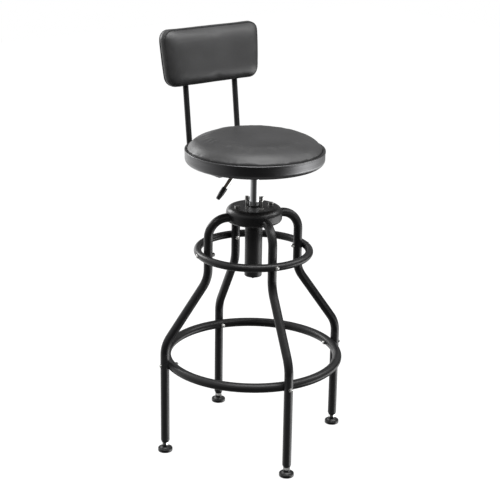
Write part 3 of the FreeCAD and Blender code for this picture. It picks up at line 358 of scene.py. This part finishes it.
def puff(obj, cap, hold=None):
    """Blows the cover up a little with cloth, each point within cap of its start."""
    activate(obj)
    obj.data.remesh_voxel_size = CLOTH_VOXEL
    bpy.ops.object.voxel_remesh()
    start = [v.co.copy() for v in obj.data.vertices]
    cloth = obj.modifiers.new("cloth", "CLOTH")
    if hold is not None:
        group = obj.vertex_groups.new(name="held")
        group.add([i for i, p in enumerate(start) if hold(p)], 1.0, "ADD")
        cloth.settings.vertex_group_mass = "held"
    cloth.settings.use_pressure = True
    cloth.settings.uniform_pressure_force = CLOTH_PRESSURE
    cloth.settings.effector_weights.gravity = 0
    cloth.settings.quality = CLOTH_QUALITY
    cloth.collision_settings.use_collision = False
    for frame_number in range(1, CLOTH_FRAMES + 1):
        scene.frame_set(frame_number)
    graph = bpy.context.evaluated_depsgraph_get()
    moved = [v.co.copy() for v in obj.evaluated_get(graph).data.vertices]
    obj.modifiers.remove(cloth)
    scene.frame_set(1)
    for vertex, a, b in zip(obj.data.vertices, start, moved):
        step = b - a
        if step.length > cap:
            step = step.normalized() * cap
        vertex.co = a + step
    obj.data.update()
    smooth_faces(obj.data)


def relax(obj):
    """Evens out what the cloth left, before the mesh is made finer."""
    settle = obj.modifiers.new("relax", "SMOOTH")
    settle.iterations = RELAX_ROUNDS
    settle.factor = RELAX_FACTOR
    activate(obj)
    bpy.ops.object.modifier_apply(modifier="relax")


def subdivide(obj):
    fine = obj.modifiers.new("fine", "SUBSURF")
    fine.levels = 1
    fine.render_levels = 1


# Seat cushion: a round crown that fills the band and swells a little over its lip

CROWN_REACH = 0.1791
CROWN_POWER = 7.27
CROWN_EDGE = 0.74
CUSHION_SIDES = 120
CUSHION_SWELL = 0.0024
# How far the crown starts below its form, because the cloth lets it out again
CUSHION_INSET = 0.0004
# How far the cushion's underside stays inside the band's lip, and its height from below
UNDERSIDE_PROFILE = [(0.012, 0.0005), (0.003, 0.003)]
SIDE_CLEARANCE = 0.0012
SIDE_SHARES = (0.25, 0.5, 0.75, 0.95)
CROWN_START = (CROWN_REACH - 0.0006, BAND_TOP + 0.0012)
CROWN_SHARES = (0.09, 0.16, 0.24, 0.33, 0.42, 0.52, 0.62, 0.71, 0.79, 0.86, 0.915)
CROWN_RADII = (0.132, 0.118, 0.100, 0.080, 0.060, 0.038, 0.016)
HELD_BELOW = BAND_TOP + 0.001


def crown_radius(share):
    """How far out the cushion's surface lies at a share of its rise above the band."""
    return CROWN_REACH * (1 - share ** (1 / CROWN_EDGE)) ** (1 / CROWN_POWER)


def crown_height(r):
    share = (1 - (r / CROWN_REACH) ** CROWN_POWER) ** CROWN_EDGE
    return BAND_TOP + (CROWN_TOP - BAND_TOP) * share


def cushion_mesh(inset):
    """The cushion's closed surface, drawn in by inset where it stands above the band."""
    depth = BAND_TOP - CUSHION_UNDERSIDE
    rise = CROWN_TOP - BAND_TOP
    profile = [(LIP_INSIDE - r, CUSHION_UNDERSIDE + z) for r, z in UNDERSIDE_PROFILE]
    profile += [(LIP_INSIDE - SIDE_CLEARANCE, CUSHION_UNDERSIDE + t * depth)
                for t in SIDE_SHARES]
    profile.append(CROWN_START)
    profile += [(crown_radius(share), BAND_TOP + rise * share) for share in CROWN_SHARES]
    profile += [(r, crown_height(r)) for r in CROWN_RADII]
    rings = []
    for r, z in profile:
        if z > BAND_TOP:
            r, z = r - inset, z - inset
        rings.append([Vector((r * math.cos(a), r * math.sin(a), z))
                      for a in circle(CUSHION_SIDES)])
    return rings_to_mesh(rings)


def build_cushion():
    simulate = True
    verts, faces = cushion_mesh(CUSHION_INSET if simulate else 0)
    obj = mesh_object("seat_cushion_cover", verts, faces, cover)
    if simulate:
        puff(obj, CUSHION_SWELL, hold=lambda p: p.z < HELD_BELOW)
        relax(obj)
    subdivide(obj)
    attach(obj, "seat")
    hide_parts("seat_cushion")


# Backrest pad: crowned front panel, boxing and back panel, piping along both seams

CORNER_STEPS = 16
OUTLINE_POINTS = 132
# A corner's radius may take up this share of half a side
CORNER_LIMIT = 0.98
PAD_CORNER = 0.0278
LEAST_CORNER = 0.006
# How much of its inset an inner outline loses in corner radius
CORNER_LOSS = 0.55
SIDE_BOW = 0.0017
EDGE_BOW = 0.0019
PAD_SWELL = 0.0032
# The outline is let out before the cloth, because relaxing it draws it in, and is drawn
# in by as much without the cloth
PAD_GROW = 0.0012

# How far in from the widest outline each ring of the pad lies, and its depth
PAD_RINGS = [
    (0.064, -0.0212), (0.050, -0.0208), (0.038, -0.0200), (0.028, -0.0188),
    (0.020, -0.0172), (0.0135, -0.0152), (0.0085, -0.0128), (0.0050, -0.0102),
    (0.0030, -0.0080), (0.0016, -0.0050), (0.0006, -0.0010), (0.0000, 0.0035),
    (0.0000, 0.0080), (0.0008, 0.0130), (0.0022, 0.0168), (0.0048, 0.0196),
    (0.0090, 0.0216), (0.0160, 0.0229), (0.0280, 0.0235), (0.0460, 0.0238)]
SEAM_RINGS = (("front", 8), ("back", 14))

SEAM_OUTSET = 0.0005
SEAM_DEPTH = 0.0011
SEAM_WIDTH = 0.0042
LEAST_PULL = 0.00005
PIPING_RADIUS = 0.0015


def rounded_outline(wide, tall, corner):
    """Points round a rectangle with rounded corners, evenly spaced from its right side."""
    half_w, half_t = wide / 2, tall / 2
    corner = min(corner, half_t * CORNER_LIMIT, half_w * CORNER_LIMIT)
    pieces = []
    for cx, cy, first in ((half_w - corner, half_t - corner, 0),
                          (-half_w + corner, half_t - corner, 90),
                          (-half_w + corner, -half_t + corner, 180),
                          (half_w - corner, -half_t + corner, 270)):
        for s in range(CORNER_STEPS + 1):
            a = math.radians(first + 90 * s / CORNER_STEPS)
            pieces.append((cx + corner * math.cos(a), cy + corner * math.sin(a)))
    lengths = [0.0]
    for a, b in zip(pieces, pieces[1:] + pieces[:1]):
        lengths.append(lengths[-1] + math.hypot(b[0] - a[0], b[1] - a[1]))
    made, i = [], 0
    for k in range(OUTLINE_POINTS):
        want = lengths[-1] * k / OUTLINE_POINTS
        while lengths[i + 1] < want:
            i += 1
        share = (want - lengths[i]) / max(lengths[i + 1] - lengths[i], 1e-9)
        a, b = pieces[i % len(pieces)], pieces[(i + 1) % len(pieces)]
        made.append((a[0] + (b[0] - a[0]) * share, a[1] + (b[1] - a[1]) * share))
    return made


def back_point(x, depth, z):
    """A point of the leaned backrest: depth runs from the front panel to the back."""
    return Vector((
        x,
        BACK_DISTANCE + depth * math.cos(BACK_LEAN) + z * math.sin(BACK_LEAN),
        BACK_HEIGHT - depth * math.sin(BACK_LEAN) + z * math.cos(BACK_LEAN)))


def pad_ring(inset, depth, grow):
    """One outline of the pad: wider at the top, with sides that bow out a little."""
    corner = max(PAD_CORNER - inset * CORNER_LOSS, LEAST_CORNER)
    half_w, half_t = BACK_WIDE / 2 - inset + grow, BACK_TALL / 2 - inset + grow
    ring = []
    for x, z in rounded_outline(2 * half_w, 2 * half_t, corner):
        across, up = x / half_w, z / half_t
        flare = 1 + BACK_FLARE * z / (BACK_TALL / 2)
        ring.append(back_point(x * flare + SIDE_BOW * across * (1 - up * up), depth,
                               z + EDGE_BOW * up * (1 - across * across)))
    return ring


def build_pad():
    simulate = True
    grow = PAD_GROW if simulate else -PAD_GROW
    rings = [pad_ring(inset, depth, grow) for inset, depth in PAD_RINGS]
    verts, faces = rings_to_mesh(rings[::-1])
    obj = mesh_object("backrest_pad_cover", verts, faces, cover)
    if simulate:
        puff(obj, PAD_SWELL)
        relax(obj)
    subdivide(obj)
    tree = BVHTree.FromObject(obj, bpy.context.evaluated_depsgraph_get())
    for name, index in SEAM_RINGS:
        ring = pad_ring(*PAD_RINGS[index], SEAM_OUTSET)
        places = [tree.find_nearest(p)[0] for p in ring]
        for vertex in obj.data.vertices:
            near = min((vertex.co - p).length_squared for p in places[::2])
            pull = SEAM_DEPTH * math.exp(-near / (2 * SEAM_WIDTH ** 2))
            if pull > LEAST_PULL:
                vertex.co -= vertex.normal * pull
        # The piping's darkened colour is painted shade along the seams
        piping = tube("backrest_piping_" + name, places, PIPING_RADIUS, piping_with_painted_shade)
        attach(piping, "seat")
    obj.data.update()
    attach(obj, "seat")
    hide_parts("backrest_pad")


build_cushion()
build_pad()


# Camera at the photograph's place

SENSOR_WIDTH = 36
LENS = 98.33
SHIFT_X, SHIFT_Y = -0.00697, -0.0068
CAMERA_TURN = math.radians(-39.0)
CAMERA_PITCH, CAMERA_ROLL = 0.3193, 0.0163
CAMERA_DISTANCE, CAMERA_HEIGHT = 3.474, 1.7075
CAMERA_REACH = 50

view_ahead = Vector((-math.sin(CAMERA_TURN), math.cos(CAMERA_TURN), 0))
view_right = Vector((math.cos(CAMERA_TURN), math.sin(CAMERA_TURN), 0))


def place_camera():
    data = bpy.data.cameras.new("camera")
    data.sensor_width = SENSOR_WIDTH
    data.lens = LENS
    data.shift_x = SHIFT_X
    data.shift_y = SHIFT_Y
    data.clip_end = CAMERA_REACH
    camera = bpy.data.objects.new("camera", data)
    scene.collection.objects.link(camera)
    forward = view_ahead * math.cos(CAMERA_PITCH) - UP * math.sin(CAMERA_PITCH)
    up = view_right.cross(forward)
    across = view_right * math.cos(CAMERA_ROLL) + up * math.sin(CAMERA_ROLL)
    above = up * math.cos(CAMERA_ROLL) - view_right * math.sin(CAMERA_ROLL)
    matrix = Matrix((across, above, -forward)).transposed().to_4x4()
    matrix.translation = -view_ahead * CAMERA_DISTANCE + UP * CAMERA_HEIGHT
    camera.matrix_world = matrix
    scene.camera = camera


place_camera()


# Light: a white studio that is dark towards the front, a lamp overhead, one to the left
# behind the object and two to its right

# Brightness below the horizon and at it, from the camera's side (0) to behind (1)
BELOW_LEFT = [
    (0.0, 0.008), (0.165, 0.012), (0.22, 0.03), (0.30, 0.052), (0.42, 0.09),
    (0.52, 0.18), (0.60, 0.25), (0.68, 0.30), (0.78, 0.28), (0.88, 0.20), (1.0, 0.03)]
BELOW_RIGHT = [
    (0.0, 0.008), (0.165, 0.012), (0.21, 0.04), (0.28, 0.11), (0.36, 0.38),
    (0.43, 0.98), (0.52, 1.25), (0.60, 0.85), (0.69, 0.50), (0.82, 0.22), (1.0, 0.03)]
BELOW_STRENGTH = 4.5
LEVEL_LEFT = [
    (0.0, 0.02), (0.20, 0.05), (0.40, 0.40), (0.60, 0.80), (0.88, 1.7), (1.0, 0.40)]
LEVEL_RIGHT = [
    (0.0, 0.02), (0.20, 0.05), (0.30, 0.12), (0.45, 0.16), (0.60, 0.12), (0.80, 0.08),
    (1.0, 0.40)]
# Brightness above the horizon, from the left (0) to the right (1)
ABOVE = [(0.0, 0.80), (0.25, 0.45), (0.5, 0.13), (0.75, 0.28), (1.0, 0.80)]
# Brightness straight down (0) and straight up (1)
POLES = [(0.0, 0.22), (0.4, 0.22), (0.6, 0.75), (1.0, 0.75)]

# Where the brightness below and above the horizon shows in place of the horizon's own,
# from straight down (0) to straight up (1)
BELOW_ZONE = [(0.0, 0.0), (0.20, 0.0), (0.27, 1.0), (0.36, 1.0), (0.395, 0.0), (1.0, 0.0)]
ABOVE_ZONE = [(0.0, 0.0), (0.56, 0.0), (0.64, 1.0), (1.0, 1.0)]
# Where the poles' brightness shows, from the horizon (0) to straight up or down (1)
POLE_ZONE = [(0.0, 0.0), (0.55, 0.0), (0.9, 1.0)]

# Least squared length of a direction's level part, so that nothing is divided by zero
LEAST_LEVEL = 0.0004


def studio_world():
    world = bpy.data.worlds.new("studio")
    scene.world = world
    world.use_nodes = True
    tree = world.node_tree
    tree.nodes.clear()

    def add(kind, **settings):
        made = tree.nodes.new("ShaderNode" + kind)
        for key, value in settings.items():
            setattr(made, key, value)
        return made

    def calculate(operation, *values):
        made = add("Math", operation=operation)
        for socket, value in zip(made.inputs, values):
            if isinstance(value, float):
                socket.default_value = value
            else:
                tree.links.new(value, socket)
        return made.outputs[0]

    def dot(vector, constant):
        made = add("VectorMath", operation="DOT_PRODUCT")
        tree.links.new(vector, made.inputs[0])
        made.inputs[1].default_value = constant
        return made.outputs["Value"]

    def ramp(value, stops):
        made = add("ValToRGB")
        tree.links.new(value, made.inputs[0])
        band = made.color_ramp
        band.interpolation = "EASE"
        while len(band.elements) < len(stops):
            band.elements.new(0.5)
        for element, (position, level) in zip(band.elements, stops):
            element.position = position
            element.color = (level, level, level, 1)
        return made.outputs["Color"]

    def mix(factor, low, high):
        made = add("Mix", data_type="RGBA")
        tree.links.new(factor, made.inputs[MIX_FACTOR])
        for socket, value in ((MIX_FIRST, low), (MIX_SECOND, high)):
            if isinstance(value, float):
                made.inputs[socket].default_value = (value, value, value, 1)
            else:
                tree.links.new(value, made.inputs[socket])
        return made.outputs[MIX_RESULT]

    def centred(value):
        """Takes -1 to 1 to 0 to 1."""
        return calculate("ADD", calculate("MULTIPLY", value, 0.5), 0.5)

    direction = add("TexCoord").outputs["Generated"]
    height = dot(direction, UP)
    squared = calculate("SUBTRACT", 1.0, calculate("MULTIPLY", height, height))
    flat = calculate("SQRT", calculate("MAXIMUM", squared, LEAST_LEVEL))
    front = calculate("DIVIDE", dot(direction, -view_ahead), flat)
    side = calculate("DIVIDE", dot(direction, view_right), flat)
    front = calculate("MINIMUM", calculate("MAXIMUM", front, -1.0), 1.0)
    turned = calculate("DIVIDE", calculate("ARCCOSINE", front), math.pi)
    to_right = calculate("GREATER_THAN", side, 0.0)
    rise = centred(height)

    below = add("VectorMath", operation="SCALE")
    tree.links.new(mix(to_right, ramp(turned, BELOW_LEFT), ramp(turned, BELOW_RIGHT)),
                   below.inputs[0])
    below.inputs["Scale"].default_value = BELOW_STRENGTH
    level = mix(to_right, ramp(turned, LEVEL_LEFT), ramp(turned, LEVEL_RIGHT))
    whole = mix(ramp(rise, BELOW_ZONE), level, below.outputs[0])
    whole = mix(ramp(rise, ABOVE_ZONE), whole, ramp(centred(side), ABOVE))
    whole = mix(ramp(calculate("ABSOLUTE", height), POLE_ZONE), whole, ramp(rise, POLES))
    seen = mix(add("LightPath").outputs["Is Camera Ray"], whole, 1.0)
    background = add("Background")
    tree.links.new(seen, background.inputs["Color"])
    background.inputs["Strength"].default_value = 1.0
    out = add("OutputWorld")
    tree.links.new(background.outputs[0], out.inputs["Surface"])


def around(angle, distance, height):
    """A place so many degrees to the right of the camera's side of the object."""
    a = math.radians(angle)
    return (-view_ahead * math.cos(a) + view_right * math.sin(a)) * distance \
        + UP * height


def lamp(name, place, target, wide, tall, radiance):
    data = bpy.data.lights.new(name, "AREA")
    data.shape = "RECTANGLE"
    data.size, data.size_y = wide, tall
    data.energy = radiance * wide * tall * math.pi
    obj = bpy.data.objects.new(name, data)
    scene.collection.objects.link(obj)
    obj.location = place
    aim = Vector(target) - place
    obj.rotation_euler = aim.to_track_quat("-Z", "Y").to_euler()
    obj.visible_camera = False


studio_world()
# Each lamp's place, target, width, height and radiance
lamp("overhead", around(8, 0.5, 2.3), (0, 0, 0.8), 1.4, 1.2, 6.2)
lamp("high_left", around(-127, 1.8, 1.4), (0, 0, 0.7), 0.7, 0.9, 7.5)
lamp("high_right", around(66, 1.15, 2.0), (0, 0.1, 0.95), 0.75, 0.75, 5.0)
lamp("right_box", around(104, 1.7, 1.8), (0, 0, 0.7), 0.7, 0.9, 4.5)


# Floor: white to the camera, with a faint shadow under the feet

FLOOR_COLOUR = (0.18, 0.18, 0.18, 1)
FLOOR_WHITE = (0.90, 0.90, 0.90, 1)
FLOOR_REACH = 6.0
# A little below the feet, so that the floor and their undersides don't share a plane
FLOOR_HEIGHT = -0.0005


def build_floor():
    mat = bpy.data.materials.new("floor_paper")
    mat.use_nodes = True
    mat.node_tree.nodes.clear()
    path = node(mat, "LightPath")
    matte = node(mat, "BsdfDiffuse", Color=FLOOR_COLOUR)
    glow = node(mat, "Emission", Color=FLOOR_WHITE)
    both = node(mat, "AddShader")
    clear = node(mat, "BsdfTransparent")
    choose = node(mat, "MixShader")
    out = node(mat, "OutputMaterial")
    join(mat, path.outputs["Is Camera Ray"], glow.inputs["Strength"])
    join(mat, matte.outputs[0], both.inputs[0])
    join(mat, glow.outputs[0], both.inputs[1])
    join(mat, path.outputs["Is Glossy Ray"], choose.inputs[0])
    join(mat, both.outputs[0], choose.inputs[1])
    join(mat, clear.outputs[0], choose.inputs[2])
    join(mat, choose.outputs[0], out.inputs["Surface"])
    corners = [(x * FLOOR_REACH, y * FLOOR_REACH, FLOOR_HEIGHT)
               for x, y in ((-1, -1), (1, -1), (1, 1), (-1, 1))]
    floor = mesh_object("studio_floor", corners, [(0, 1, 2, 3)], mat, smooth=False)


build_floor()

scene.view_settings.view_transform = "Standard"
